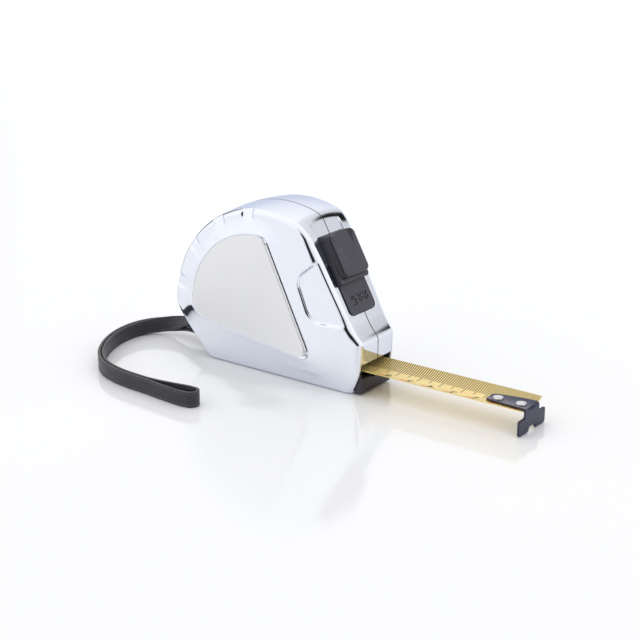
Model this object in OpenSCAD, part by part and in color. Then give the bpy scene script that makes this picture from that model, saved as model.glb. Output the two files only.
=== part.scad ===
// Pocket tape measure, 5 m x 19 mm, with a sliding blade lock and a wrist strap.
// X is the way the blade is pulled, Y is the case's width, Z is up.
// The origin is on the mid-plane, at the middle of the flat underside.

/* [Case] */
// Radius of the rounded back, measured on the mid-plane
dome_r = 48; // [47:0.25:49]
// How much lower the rounded back is at the side walls
crown = 1.7; // [1:0.1:2.5]
// Half of the case's width, without the raised side panels
side_y = 15.5; // [15:0.1:16.5]
// How far a side panel's frame stands out from the side wall
panel_rise = 1.5; // [1:0.1:2]
// Wall thickness of the moulded shells
wall = 1.8; // [1.5:0.1:2.1]
// Half of the width of the flat underside
base_y = 11.5; // [11:0.1:13]
// Depth of the thin plate set into each side panel's frame
plate_t = 0.6; // [0.4:0.1:0.8]

/* [Lock] */
// Angle of the sloped front, from the horizontal
slope_deg = 61; // [60:0.5:62]
// Travel of the thumb slider along the slope
slide_travel = 5; // [4:0.5:6]
// Height of the thumb block above the slope
thumb_h = 5; // [4:0.25:6]
// Half of the thumb block's width
thumb_y = 8.5; // [7.5:0.1:8.7]

/* [Blade] */
// Half of the blade's width across its curve
blade_y = 9.05; // [8.8:0.05:9.1]
// Radius of the blade's cupped section, on its top face
cup_r = 18.6; // [17:0.1:22]
// Blade thickness with its print and coating
blade_t = 0.25; // [0.2:0.01:0.3]
// Height of the blade's underside at its middle
blade_z = 8; // [7.9:0.05:8.1]
// Place of the blade's free end
blade_end = 115.9; // [110:0.1:118]

/* [Reel] */
// Outer radius of the wound blade
coil_r = 25.5; // [24:0.1:25.6]
// Outer radius of the drum that the blade winds on
drum_r = 19.2; // [18:0.1:20]
// Radius of the fixed post in the middle
post_r = 4; // [3.5:0.1:4.2]

/* [Hook] */
// Half of the end hook's width
hook_y = 9.9; // [9.5:0.1:10]
// Thickness of the hook's steel
hook_t = 1; // [0.8:0.05:1.1]
// End play that makes up for the hook's own thickness
hook_play = 1; // [0.8:0.05:1.1]

/* [Strap] */
// Width of the strap's band
band_w = 6.5; // [6:0.1:6.8]
// Thickness of the strap's band
band_t = 1.2; // [1:0.1:1.3]

/* [Hidden] */
$fn = 96;

// Small distances used all over
eps = 0.01;
gap = 0.3;
far = 200;

// Rounded back
dome_x = 1.4;
dome_z = 22.9;
crown_r = (crown * crown + side_y * side_y) / (2 * crown);

// Side view of the case, counter-clockwise from the rear of the underside
base_rear = [-31, 0];
base_front = [44.5, 0];
nose_low = [46.9, 2.5];
nose_high = [46.9, 22.2];
kink = [43.3, 25.9];
slope_top_z = 78;
rear_slant = 1.545;
rear_far_x = -56;
OUTLINE = [
    base_rear, base_front, nose_low, nose_high, kink,
    [kink.x - (slope_top_z - kink.y) / tan(slope_deg), slope_top_z],
    [rear_far_x, slope_top_z],
    [rear_far_x, (base_rear.x - rear_far_x) * rear_slant]
];
// Section across the case, with the sides drawn in towards the underside
flare_z = 9;
SECTION = [
    [-base_y, 0], [base_y, 0], [side_y, flare_z],
    [side_y, far], [-side_y, far], [-side_y, flare_z]
];
// Plan of the case, with the nose drawn in at the front
taper_x = 39;
nose_x = 50;
nose_y = 11.6;
PLAN = [
    [-far, -side_y], [taper_x, -side_y], [nose_x, -nose_y],
    [nose_x, nose_y], [taper_x, side_y], [-far, side_y]
];

// Side panel: a round back, a slanted front edge and a gently falling lower edge
panel_c = [-0.5, 24.8];
panel_r = 34.3;
panel_corner_r = 5;
frame_w = 1.9;
PANEL = [[-45, 22.1], [25.9, 12.4], [-5, 76.2], [-45, 76.2]];

// Thumb grips cut in the rim of the round back
grip_r = 2.6;
grip_depth = 1.2;
grip_len = 5;
GRIP_DEG = [167, 143, 120, 100];

// Screws that hold the two shells together
SCREWS = [[-33.3, 47.7], [15.5, 63], [38.5, 18.5], [-26.5, 8]];
boss_r = 3.2;
screw_r = 1.5;
screw_head_r = 2.2;
screw_head_y = 7;
screw_tip_y = -9;

// Reel
reel_c = [-3, 36.8];
reel_y = 9.8;
web_t = 1.2;
drum_wall = 1.4;
coil_y = 9.5;
post_y = 13.5;
hub_r = 6.4;
shaft_gap = 0.06;
spring_y = 7.2;
spring_turns = 9;
spring_t = 0.5;
spring_in_r = post_r + 0.5;
spring_out_r = drum_r - drum_wall - 0.9;

// Mouth and bumper
mouth_y = 10.4;
mouth_top = 13;
bumper_back = 42.9;
bumper_front = 46.8;
bumper_top = 7.3;
anvil_back = 34;

// Lock lever
lever_c = [33, 24];
lever_y = 4;
lever_hub_r = 3;
lever_pin_r = 1;
pin_boss_r = 2.4;
LEVER_LOW = [25.6, 12.6];
LEVER_HIGH = [31.5, 33];
pad_bottom = 9.05;
pad_len = 5;
pad_y = 3.4;

// Thumb slider, measured up the slope from the kink
slot_low = 6.3;
slot_high = 48.6;
slot_y = 9;
slot_depth = 0.9;
plate_low = 7;
thumb_low = 20.5;
thumb_high = 40.3;
stem_low = 13.4;
stem_high = 18.8;
stem_y = 3;

// Strap pin and the band's route
strap_pin_c = [-34.6, 8];
strap_pin_r = 1.5;
strap_pin_y = 8;
eye_r = 3;
strap_slot_y = 3.8;

// Blade section
cup_c = blade_z + blade_t + cup_r;
blade_start = 46;
rivet_x = [102, 112];
rivet_r = 1;
rivet_head_r = 1.9;
leaf_y = 5.5;
leaf_tip_y = 3;
leaf_back = 98;
leaf_gap = 0.05;

// ---------- Points and outlines ----------

function unit(v) = v / norm(v);
function inward(a, b) = let (u = unit(b - a)) [-u.y, u.x];
function meet(p, u, q, v) = p + u * cross(q - p, v) / cross(u, v);
// A counter-clockwise outline with every edge moved in by d
function inset(pts, d) =
    let (n = len(pts))
    [for (i = [0 : n - 1])
        let (a = pts[(i + n - 1) % n], b = pts[i], c = pts[(i + 1) % n])
        meet(b + d * inward(a, b), b - a, b + d * inward(b, c), c - b)];

// Extrudes a side view between two places across the width
module across(y0, y1) {
    translate([0, y1, 0])
        rotate([90, 0, 0])
            linear_extrude(y1 - y0)
                children();
}

// Extrudes a cross-section between two places along the length
module along(x0, x1) {
    translate([x0, 0, 0])
        rotate([90, 0, 90])
            linear_extrude(x1 - x0)
                children();
}

// A rod or a bore across the width
module rod(c, r, y0, y1) {
    across(y0, y1)
        translate(c)
            circle(r);
}

// Puts its children on the sloped front: X up the slope, Z into the case
module on_slope() {
    translate([kink.x, 0, kink.y])
        rotate([0, slope_deg - 180, 0])
            children();
}

// A block given by its lowest and highest corners
module block(lo, hi) {
    translate(lo)
        cube(hi - lo);
}

// ---------- Case ----------

// The whole case as a solid, with every face moved in by d
module case_body(d) {
    intersection() {
        translate([dome_x, 0, dome_z])
            rotate([90, 0, 0])
                rotate_extrude($fn = 160)
                    intersection() {
                        translate([dome_r - crown_r, 0])
                            circle(crown_r - d, $fn = 160);
                        translate([0, -side_y])
                            square([dome_r, 2 * side_y]);
                    }
        across(-side_y + d, side_y - d)
            polygon(inset(OUTLINE, d));
        along(-far, far)
            polygon(inset(SECTION, d));
        translate([0, 0, -1])
            linear_extrude(far)
                polygon(inset(PLAN, d));
    }
}

// Side panel's outline, grown by d, with its low front corner rounded
module panel_shape(d) {
    outer = inset(PANEL, -d);
    core = inset(PANEL, panel_corner_r)[1];
    before = unit(PANEL[1] - PANEL[0]);
    after = unit(PANEL[2] - PANEL[1]);
    a0 = atan2(-before.x, before.y);
    a1 = atan2(-after.x, after.y);
    corner = [for (k = [0 : 12])
        let (a = a0 + (a1 - a0) * k / 12)
        core + (panel_corner_r + d) * [cos(a), sin(a)]];
    intersection() {
        translate(panel_c)
            circle(panel_r + d, $fn = 160);
        polygon(concat([outer[0]], corner, [outer[2], outer[3]]));
    }
}

// One moulded shell; side is 1 for the left one, towards +Y, and -1 for the right one
module shell(side) {
    inner_y = side_y - wall;
    difference() {
        union() {
            intersection() {
                union() {
                    difference() {
                        case_body(0);
                        case_body(wall);
                    }
                    intersection() {
                        case_body(wall / 2);
                        shell_bosses(side, inner_y);
                    }
                }
                half(side);
            }
            span(side, side_y - wall / 2, side_y + panel_rise)
                panel_shape(frame_w);
        }
        // Seat for the side plate
        span(side, side_y + panel_rise - plate_t - 0.2, side_y + panel_rise + 1)
            panel_shape(0);
        shell_bores(side, inner_y);
        front_openings();
        for (a = GRIP_DEG)
            translate([dome_x + dome_r * cos(a), 0, dome_z + dome_r * sin(a)])
                span(side, side_y - grip_len, side_y + 1)
                    circle(grip_r + grip_depth - crown);
    }
}

module half(side) {
    translate([-far / 2, side > 0 ? 0 : -far, -1])
        cube([far, far, far]);
}

// Extrudes a side view between two distances from the mid-plane, on one side
module span(side, near, wide) {
    if (side > 0)
        across(near, wide)
            children();
    else
        across(-wide, -near)
            children();
}

module shell_bosses(side, inner_y) {
    for (c = SCREWS)
        span(side, 0, inner_y + eps)
            translate(c)
                circle(boss_r);
    span(side, reel_y + gap, inner_y + eps)
        translate(reel_c)
            circle(hub_r);
    span(side, side > 0 ? lever_y + 4.6 : lever_y + gap, inner_y + eps)
        translate(lever_c)
            circle(pin_boss_r);
    span(side, strap_slot_y + 0.4, inner_y + eps)
        translate(strap_pin_c)
            circle(2 * strap_pin_r);
}

module shell_bores(side, inner_y) {
    for (c = SCREWS)
        if (side > 0) {
            rod(c, screw_r + 0.1, -1, far);
            rod(c, screw_head_r + 0.2, screw_head_y, far);
        }
        else
            rod(c, screw_r, screw_tip_y - 1, 1);
    rod(reel_c, post_r + 0.03, -post_y - 0.1, post_y + 0.1);
    rod(lever_c, lever_pin_r + 0.03, -12.2, 12.2);
    rod(strap_pin_c, strap_pin_r + 0.03, -strap_pin_y - 0.1, strap_pin_y + 0.1);
}

// Everything that is cut through the front and the rear
module front_openings() {
    // Mouth
    block([anvil_back, -mouth_y, bumper_top], [far, mouth_y, mouth_top]);
    // Seat of the bumper
    block([bumper_back - 0.1, -mouth_y, -1], [far, mouth_y, mouth_top]);
    // Recess that the thumb slider runs in, and the slot for its stem
    on_slope() {
        block([slot_low, -slot_y, -5], [slot_high, slot_y, slot_depth]);
        block([stem_low - gap, -stem_y - gap, -5],
              [stem_high + slide_travel + gap, stem_y + gap, wall + 3]);
    }
    // Opening for the strap
    block([-far, -strap_slot_y, strap_pin_c.y - 4.2],
          [strap_pin_c.x + 4.2, strap_slot_y, strap_pin_c.y + 4.2]);
}

module case_right() {
    color("gainsboro")
        shell(-1);
}

module case_left() {
    color("gainsboro")
        shell(1);
}

module side_plate(side) {
    top = side_y + panel_rise - 0.2;
    color("lightgray")
        span(side, top - plate_t, top)
            panel_shape(-0.1);
}

module side_plate_right() {
    side_plate(-1);
}

module side_plate_left() {
    side_plate(1);
}

// Lower lip of the mouth, with the anvil that the lock presses the blade against
module front_bumper() {
    y = mouth_y - 0.15;
    lip = [
        [bumper_back, 0.6], [bumper_front - 0.9, 0.6], [bumper_front, bumper_top - 0.3],
        [bumper_front - 0.3, bumper_top], [bumper_back, bumper_top]
    ];
    horn_top = mouth_top - 0.4;
    color([0.13, 0.13, 0.15]) {
        across(-y, y)
            polygon(lip);
        // Anvil under the blade, with its two ribs
        block([anvil_back + 0.5, -y, bumper_top - 1.4], [bumper_back + 0.1, y, bumper_top]);
        for (s = [-1, 1]) {
            translate([0, s * 5, 0])
                block([anvil_back + 1, -0.6, wall + 0.05], [bumper_back + 0.1, 0.6, bumper_top - 1]);
            translate([0, s * (y - 0.35), 0])
                block([bumper_back, -0.35, 1], [bumper_front - 1, 0.35, horn_top]);
        }
    }
}

// ---------- Lock ----------

module lock_slider() {
    flange_y = thumb_y + 1.2;
    r = 1.6;
    color([0.15, 0.15, 0.17])
        on_slope() {
            // Thumb block with softly rounded corners
            hull()
                for (x = [thumb_low + r, thumb_high - r], y = [-thumb_y + r, thumb_y - r])
                    translate([x, y, -thumb_h])
                        cylinder(h = thumb_h + 0.5, r1 = r - 0.4, r2 = r, $fn = 32);
            // Wider skirt of its lower half
            hull()
                for (x = [thumb_low - 1.4 + r, thumb_low + 9 - r], y = [-flange_y + r, flange_y - r])
                    translate([x, y, -2.4])
                        cylinder(h = 2.2, r = r, $fn = 32);
            // Flush plate below it
            hull()
                for (x = [plate_low + r, thumb_low], y = [-slot_y + 0.3 + r, slot_y - 0.3 - r])
                    translate([x, y, -0.2])
                        cylinder(h = slot_depth, r = r, $fn = 32);
            // Stem that goes through the slot
            block([stem_low, -stem_y, 0.5], [stem_high, stem_y, 5.6]);
        }
}

// Clip that holds the slider in its slot from inside
module slider_clip() {
    color([0.25, 0.25, 0.27])
        on_slope()
            difference() {
                block([stem_low - 2.4, -6.5, wall + 0.35], [stem_high + 2.4, 6.5, wall + 1.35]);
                block([stem_low - 0.02, -stem_y - 0.02, 0], [stem_high + 0.02, stem_y + 0.02, 9]);
            }
}

module brake_lever() {
    w = 1.3;
    color([0.3, 0.3, 0.33])
        difference() {
            union() {
                rod(lever_c, lever_hub_r, -lever_y, lever_y);
                across(-lever_y, lever_y) {
                    limb(lever_c, LEVER_LOW, w);
                    limb(lever_c, LEVER_HIGH, w);
                }
            }
            rod(lever_c, lever_pin_r + 0.05, -far, far);
        }
}

// A straight bar with round ends, drawn in the side view
module limb(a, b, r) {
    u = unit(b - a);
    n = [-u.y, u.x] * r;
    polygon([a + n, a - n, b - n, b + n]);
    for (p = [a, b])
        translate(p)
            circle(r);
}

module brake_pad() {
    top = LEVER_LOW.y - 1.3;
    color([0.35, 0.12, 0.1])
        difference() {
            block([LEVER_LOW.x - pad_len / 2, -pad_y, pad_bottom],
                  [LEVER_LOW.x + pad_len / 2, pad_y, top + 1]);
            across(-far, far)
                limb(lever_c, LEVER_LOW, 1.3);
        }
}

module lever_pin() {
    color("silver")
        rod(lever_c, lever_pin_r, -12, 12);
}

// Torsion spring that turns on the lever's pin
module lever_spring() {
    wire = 0.35;
    turn_r = 1.75;
    turns = 3.5;
    y0 = lever_y + 0.8;
    pitch = 0.85;
    steps = 14;
    sides = 8;
    count = turns * steps;
    rings = [for (i = [0 : count])
        let (a = 360 * i / steps, out = [cos(a), 0, sin(a)])
        [for (k = [0 : sides - 1])
            let (b = 360 * k / sides)
            [lever_c.x, y0 + pitch * i / steps, lever_c.y]
                + out * (turn_r + wire * cos(b)) + [0, wire * sin(b), 0]]];
    color("silver")
        tube(rings, false);
}

// ---------- Reel ----------

module centre_post() {
    color("silver")
        difference() {
            rod(reel_c, post_r, -post_y, post_y);
            // Slot that holds the spring's inner end
            translate([reel_c.x - 0.4, -spring_y, reel_c.y])
                cube([0.8, 2 * spring_y, far]);
        }
}

// Flat coil spring that winds the blade in, hooked into the post's slot
module power_spring() {
    step = 20;
    last = spring_turns * 360;
    rise = (spring_out_r - spring_in_r) / last;
    inside = [for (a = [0 : step : last])
        (spring_in_r + rise * a) * [cos(a + 90), sin(a + 90)]];
    outside = [for (a = [last : -step : 0])
        (spring_in_r + spring_t + rise * a) * [cos(a + 90), sin(a + 90)]];
    hook = [[0.25, spring_in_r + spring_t], [0.25, 1.5], [-0.25, 1.5], [-0.25, spring_in_r]];
    color([0.45, 0.45, 0.5])
        across(-spring_y, spring_y)
            translate(reel_c) {
                polygon(concat(inside, outside));
                polygon(hook);
            }
}

module reel() {
    color([0.85, 0.85, 0.82])
        difference() {
            rod(reel_c, drum_r, -reel_y + web_t + 0.1, reel_y);
            rod(reel_c, drum_r - drum_wall, -far, reel_y - web_t);
            rod(reel_c, post_r + shaft_gap, -far, far);
        }
}

module spring_cover() {
    color([0.8, 0.8, 0.78])
        difference() {
            rod(reel_c, drum_r, -reel_y, -reel_y + web_t);
            rod(reel_c, post_r + shaft_gap, -far, far);
        }
}

// The length of blade that is wound on the drum
module blade_coil() {
    color("gold")
        difference() {
            rod(reel_c, coil_r, -coil_y, coil_y);
            rod(reel_c, drum_r + 0.02, -far, far);
        }
}

// ---------- Blade ----------

// Stretch inside the case: flat where it leaves the coil, cupped where it meets the mouth
module blade_tail() {
    x0 = reel_c.x;
    x1 = 22;
    x2 = blade_start - 0.1;
    z0 = reel_c.y - coil_r - 0.15 - blade_t;
    steps = 10;
    cells = 8;
    function ease(t) = t * t * (3 - 2 * t);
    stations = concat([for (i = [0 : steps]) i / steps], [(x2 - x0) / (x1 - x0)]);
    rings = [for (t = stations)
        let (e = ease(min(t, 1)), x = x0 + (x1 - x0) * t, z = z0 + (blade_z - z0) * e)
        let (bottom = [for (k = [0 : cells])
            let (y = blade_y * (2 * k / cells - 1))
            [x, y, z + max(e, 0.04) * y * y / (2 * cup_r)]])
        concat(bottom, [for (k = [cells : -1 : 0]) bottom[k] + [0, 0, blade_t]])];
    color("gold")
        tube(rings, false);
}

// Cupped strip between two radii, drawn across the case
module cup_shape(r_in, r_out, y) {
    intersection() {
        difference() {
            translate([0, cup_c])
                circle(r_out, $fn = 200);
            translate([0, cup_c])
                circle(r_in, $fn = 200);
        }
        translate([-y, 0])
            square([2 * y, cup_c - 5]);
    }
}

module blade() {
    color("gold")
        difference() {
            along(blade_start, blade_end)
                cup_shape(cup_r, cup_r + blade_t, blade_y);
            for (x = rivet_x)
                translate([x, 0, 0])
                    cylinder(h = far, r = rivet_r + 0.02);
        }
}

module end_hook() {
    top = cup_r - leaf_gap;
    face_z = 9.1;
    shoulder = 6.4;
    y = hook_y;
    face = [
        [-y, 1.3], [-y + 1.2, 0.1], [-2.9, 0.1], [-1.9, 1.9], [1.9, 1.9], [2.9, 0.1],
        [y - 1.2, 0.1], [y, 1.3], [y, shoulder - 1.2], [y - 1, shoulder], [leaf_y + 0.8, shoulder],
        [leaf_y, shoulder + 0.8], [leaf_y, face_z], [-leaf_y, face_z],
        [-leaf_y, shoulder + 0.8], [-leaf_y - 0.8, shoulder], [-y + 1, shoulder], [-y, shoulder - 1.2]
    ];
    color([0.17, 0.17, 0.19])
        difference() {
            union() {
                intersection() {
                    along(leaf_back, blade_end + hook_t)
                        cup_shape(top - hook_t, top, leaf_y);
                    linear_extrude(far)
                        polygon([
                            [leaf_back, -leaf_tip_y], [rivet_x[1], -leaf_y],
                            [far, -leaf_y], [far, leaf_y],
                            [rivet_x[1], leaf_y], [leaf_back, leaf_tip_y]
                        ]);
                }
                along(blade_end + gap / 3, blade_end + gap / 3 + hook_t)
                    polygon(face);
            }
            // Slots that let the hook slide on its rivets
            for (x = rivet_x)
                for (shift = [0, -hook_play])
                    translate([x + shift, 0, 0])
                        cylinder(h = far, r = rivet_r + 0.1);
            for (x = rivet_x)
                translate([x - hook_play, -rivet_r - 0.1, 0])
                    cube([hook_play, 2 * rivet_r + 0.2, far]);
        }
}

module hook_rivets() {
    under = blade_z - 0.5;
    leaf_top = blade_z + blade_t + leaf_gap + hook_t;
    color("silver")
        for (x = rivet_x)
            translate([x, 0, 0]) {
                translate([0, 0, under])
                    cylinder(h = leaf_top + 0.15 - under, r = rivet_r);
                translate([0, 0, leaf_top + 0.1])
                    cylinder(h = 0.7, r1 = rivet_head_r, r2 = rivet_head_r - 0.6);
                translate([0, 0, under])
                    cylinder(h = 0.48, r = rivet_head_r - 0.5);
            }
}

// ---------- Fasteners ----------

module case_screws() {
    color("silver")
        for (c = SCREWS)
            difference() {
                union() {
                    rod(c, screw_r - 0.02, screw_tip_y, screw_head_y + 0.05);
                    rod(c, screw_head_r, screw_head_y + 0.05, screw_head_y + 1.8);
                }
                // Cross recess
                for (a = [0, 90])
                    translate([c.x, screw_head_y + 1.4, c.y])
                        rotate([0, a, 0])
                            cube([2.6, 1.6, 0.6], center = true);
            }
}

// ---------- Strap ----------

// Middle of the doubled band: place, twist about the route, half of the layers' spacing.
// Twist 0 stacks the two layers on each other, twist 90 stands them side by side.
ROUTE = [
    [-34.6, 0, 8, 0, 3], [-40, 0.3, 8, 0, 2.9], [-46, 1, 7.6, 5, 2.4], [-52.5, 1.8, 6.8, 20, 1.5],
    [-59, 2, 5.6, 45, 0.9], [-65.5, 0.5, 4.4, 70, 0.8], [-71, -4, 3.7, 85, 0.8],
    [-73.8, -11, 3.4, 90, 0.8], [-73.5, -20, 3.4, 90, 0.8], [-71, -29, 3.4, 90, 0.8],
    [-66.5, -38, 3.4, 90, 0.8], [-60, -46.5, 3.4, 90, 0.8], [-51.5, -53, 3.4, 90, 0.8],
    [-41.5, -56.3, 3.4, 90, 0.8], [-31, -57.5, 3.4, 90, 0.8], [-22.5, -57.8, 3.4, 90, 1],
    [-14, -57.7, 3.4, 90, 2], [-6.5, -57.2, 3.4, 90, 2.9], [-2.2, -56.9, 3.4, 90, 2.9]
];

// Smooth place between two of the route's points
function blend4(a, b, c, d, t) =
    b + 0.5 * t * (c - a + t * (2 * a - 5 * b + 4 * c - d + t * (3 * (b - c) + d - a)));
function route_at(u) =
    let (last = len(ROUTE) - 1, i = min(floor(u), last - 1), t = u - i)
    blend4(ROUTE[max(i - 1, 0)], ROUTE[i], ROUTE[i + 1], ROUTE[min(i + 2, last)], t);
function place(s) = [s[0], s[1], s[2]];

// One station: place, direction along the route, direction between the layers, half spacing
function station(u) =
    let (
        d = 0.05,
        last = len(ROUTE) - 1,
        here = route_at(u),
        t = unit(place(route_at(min(u + d, last))) - place(route_at(max(u - d, 0)))),
        h = unit(cross([0, 0, 1], t)),
        v = cross(t, h),
        n = cos(here[3]) * v + sin(here[3]) * h
    )
    [place(here), t, n, here[4]];

// The band's own path: out along one layer, round the end, back along the other, round the pin
function band_path(count) =
    let (
        last = len(ROUTE) - 1,
        s = [for (i = [0 : count]) station(last * i / count)],
        turn = 5
    )
    concat(
        [for (i = [0 : count]) [s[i][0] + s[i][3] * s[i][2], s[i]]],
        [for (k = [1 : turn - 1])
            let (a = 180 * k / turn, e = s[count])
            [e[0] + e[3] * (cos(a) * e[2] + sin(a) * e[1]), e]],
        [for (i = [count : -1 : 0]) [s[i][0] - s[i][3] * s[i][2], s[i]]],
        [for (k = [1 : turn - 1])
            let (a = 180 * k / turn, e = s[0])
            [e[0] - e[3] * (cos(a) * e[2] + sin(a) * e[1]), e]]
    );

// A skin over rings of points; closed joins the last ring to the first
module tube(rings, closed) {
    n = len(rings);
    m = len(rings[0]);
    sides = [for (i = [0 : n - (closed ? 1 : 2)], k = [0 : m - 1])
        let (j = (i + 1) % n, l = (k + 1) % m)
        [i * m + k, i * m + l, j * m + l, j * m + k]];
    ends = closed ? [] : [
        [for (k = [m - 1 : -1 : 0]) k],
        [for (k = [0 : m - 1]) (n - 1) * m + k]
    ];
    triangles = [for (f = sides) each [[f[0], f[1], f[2]], [f[0], f[2], f[3]]]];
    polyhedron([for (r = rings) each r], concat(triangles, ends));
}

module wrist_strap() {
    path = band_path(30);
    n = len(path);
    w = band_w / 2;
    t = band_t / 2;
    edge = 0.35;
    profile = [
        [w, t - edge], [w - edge, t], [edge - w, t], [-w, t - edge],
        [-w, edge - t], [edge - w, -t], [w - edge, -t], [w, edge - t]
    ];
    rings = [for (i = [0 : n - 1])
        let (
            along_band = unit(path[(i + 1) % n][0] - path[(i + n - 1) % n][0]),
            s = path[i][1],
            flat = unit(cross(s[1], s[2])),
            face = unit(cross(flat, along_band)),
            wide = cross(along_band, face)
        )
        [for (q = profile) path[i][0] + q.x * wide + q.y * face]];
    color([0.12, 0.12, 0.14])
        tube(rings, true);
}

// Small block that joins the two layers behind the case
module strap_keeper() {
    s = station(2.9);
    half_gap = s[3] - band_t / 2 - 0.5;
    side = cross(s[1], s[2]);
    color([0.16, 0.16, 0.18])
        multmatrix([
            [s[1].x, side.x, s[2].x, s[0].x],
            [s[1].y, side.y, s[2].y, s[0].y],
            [s[1].z, side.z, s[2].z, s[0].z],
            [0, 0, 0, 1]
        ])
            translate([-1.4, -band_w / 2 + 0.4, -half_gap])
                cube([2.8, band_w - 0.8, 2 * half_gap]);
}

module strap_pin() {
    color("silver")
        rod(strap_pin_c, strap_pin_r, -strap_pin_y, strap_pin_y);
}

case_right();
case_left();
side_plate_right();
side_plate_left();
front_bumper();
lock_slider();
slider_clip();
brake_lever();
brake_pad();
lever_pin();
lever_spring();
centre_post();
power_spring();
reel();
spring_cover();
blade_coil();
blade_tail();
blade();
end_hook();
hook_rivets();
case_screws();
strap_pin();
strap_keeper();
wrist_strap();
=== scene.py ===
"""Looks of the pocket tape measure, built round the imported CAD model.

Shapes are worked out in millimetres, in the CAD frame: X is the way the blade is pulled,
Y is the case's width and Z is up. Moulded pieces are written as distance fields and
skinned, so every edge has the small round that a moulded piece has.
"""

import math

import bmesh
import bpy
import numpy as np
from mathutils import Matrix, Vector


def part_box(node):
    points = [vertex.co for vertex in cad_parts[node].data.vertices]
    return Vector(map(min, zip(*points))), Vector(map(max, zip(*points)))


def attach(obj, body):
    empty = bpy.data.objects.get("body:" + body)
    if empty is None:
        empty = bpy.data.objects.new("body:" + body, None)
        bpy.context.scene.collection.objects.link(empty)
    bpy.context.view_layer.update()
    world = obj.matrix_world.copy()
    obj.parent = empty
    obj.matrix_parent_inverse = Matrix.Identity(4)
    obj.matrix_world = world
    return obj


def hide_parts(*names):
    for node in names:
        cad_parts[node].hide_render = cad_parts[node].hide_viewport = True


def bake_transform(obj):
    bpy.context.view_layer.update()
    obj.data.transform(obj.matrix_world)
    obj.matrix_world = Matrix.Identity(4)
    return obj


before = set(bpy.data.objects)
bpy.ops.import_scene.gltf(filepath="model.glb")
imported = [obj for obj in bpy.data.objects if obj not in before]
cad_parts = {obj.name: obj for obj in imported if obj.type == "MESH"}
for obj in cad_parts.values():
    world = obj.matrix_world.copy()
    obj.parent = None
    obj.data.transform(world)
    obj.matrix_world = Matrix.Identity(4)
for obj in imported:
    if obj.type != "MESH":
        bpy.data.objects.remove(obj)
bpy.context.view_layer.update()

MM = 0.001


def box_mm(node):
    """Lowest and highest corner of a CAD node, in millimetres."""
    lo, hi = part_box(node)
    return np.array(lo) / MM, np.array(hi) / MM


# ------------------------------ camera

camera_data = bpy.data.cameras.new("camera")
camera = bpy.data.objects.new("camera", camera_data)
bpy.context.collection.objects.link(camera)
bpy.context.scene.camera = camera
camera_data.sensor_width = 36
camera_data.lens = 90
camera_data.clip_start, camera_data.clip_end = 0.01, 100
camera.location = (0.38145, -0.49349, 0.2346)
camera.rotation_euler = (math.radians(90 - 19.01), 0, math.radians(36.35))


# ------------------------------ pieces and finishes


def make_piece(name, verts, faces, body, replaces=()):
    """A mesh piece from points in millimetres, riding on a CAD body."""
    mesh = bpy.data.meshes.new(name)
    mesh.from_pydata((np.asarray(verts, float) * MM).tolist(), [], faces)
    mesh.validate()
    mesh.shade_smooth()
    obj = bpy.data.objects.new(name, mesh)
    bpy.context.collection.objects.link(obj)
    if body:
        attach(obj, body)
    if replaces:
        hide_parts(*replaces)
    return obj


def moved_on(faces, count):
    """The same faces, when count points come before theirs."""
    return [tuple(i + count for i in face) for face in faces]


def ring_faces(rings, count, closed=False):
    """Four-sided faces between rings of points that follow one another."""
    faces = []
    for i in range(rings if closed else rings - 1):
        low, high = i * count, (i + 1) % rings * count
        for k in range(count):
            j = (k + 1) % count
            faces.append((low + k, low + j, high + j, high + k))
    return faces


def face_outward(mesh, sharp_deg):
    """Turns all faces outward, and keeps edges above an angle sharp."""
    bm = bmesh.new()
    bm.from_mesh(mesh)
    bmesh.ops.recalc_face_normals(bm, faces=bm.faces[:])
    bm.to_mesh(mesh)
    bm.free()
    mesh.set_sharp_from_angle(angle=math.radians(sharp_deg))


def set_normals(mesh, normals, flat_faces=()):
    """Gives each corner its vertex's normal, except on faces that are flat."""
    loops = np.zeros(len(mesh.loops), np.int32)
    mesh.loops.foreach_get("vertex_index", loops)
    corner = normals[loops]
    for i in flat_faces:
        face = mesh.polygons[i]
        corner[face.loop_start : face.loop_start + face.loop_total] = face.normal
    mesh.normals_split_custom_set(corner.tolist())


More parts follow.
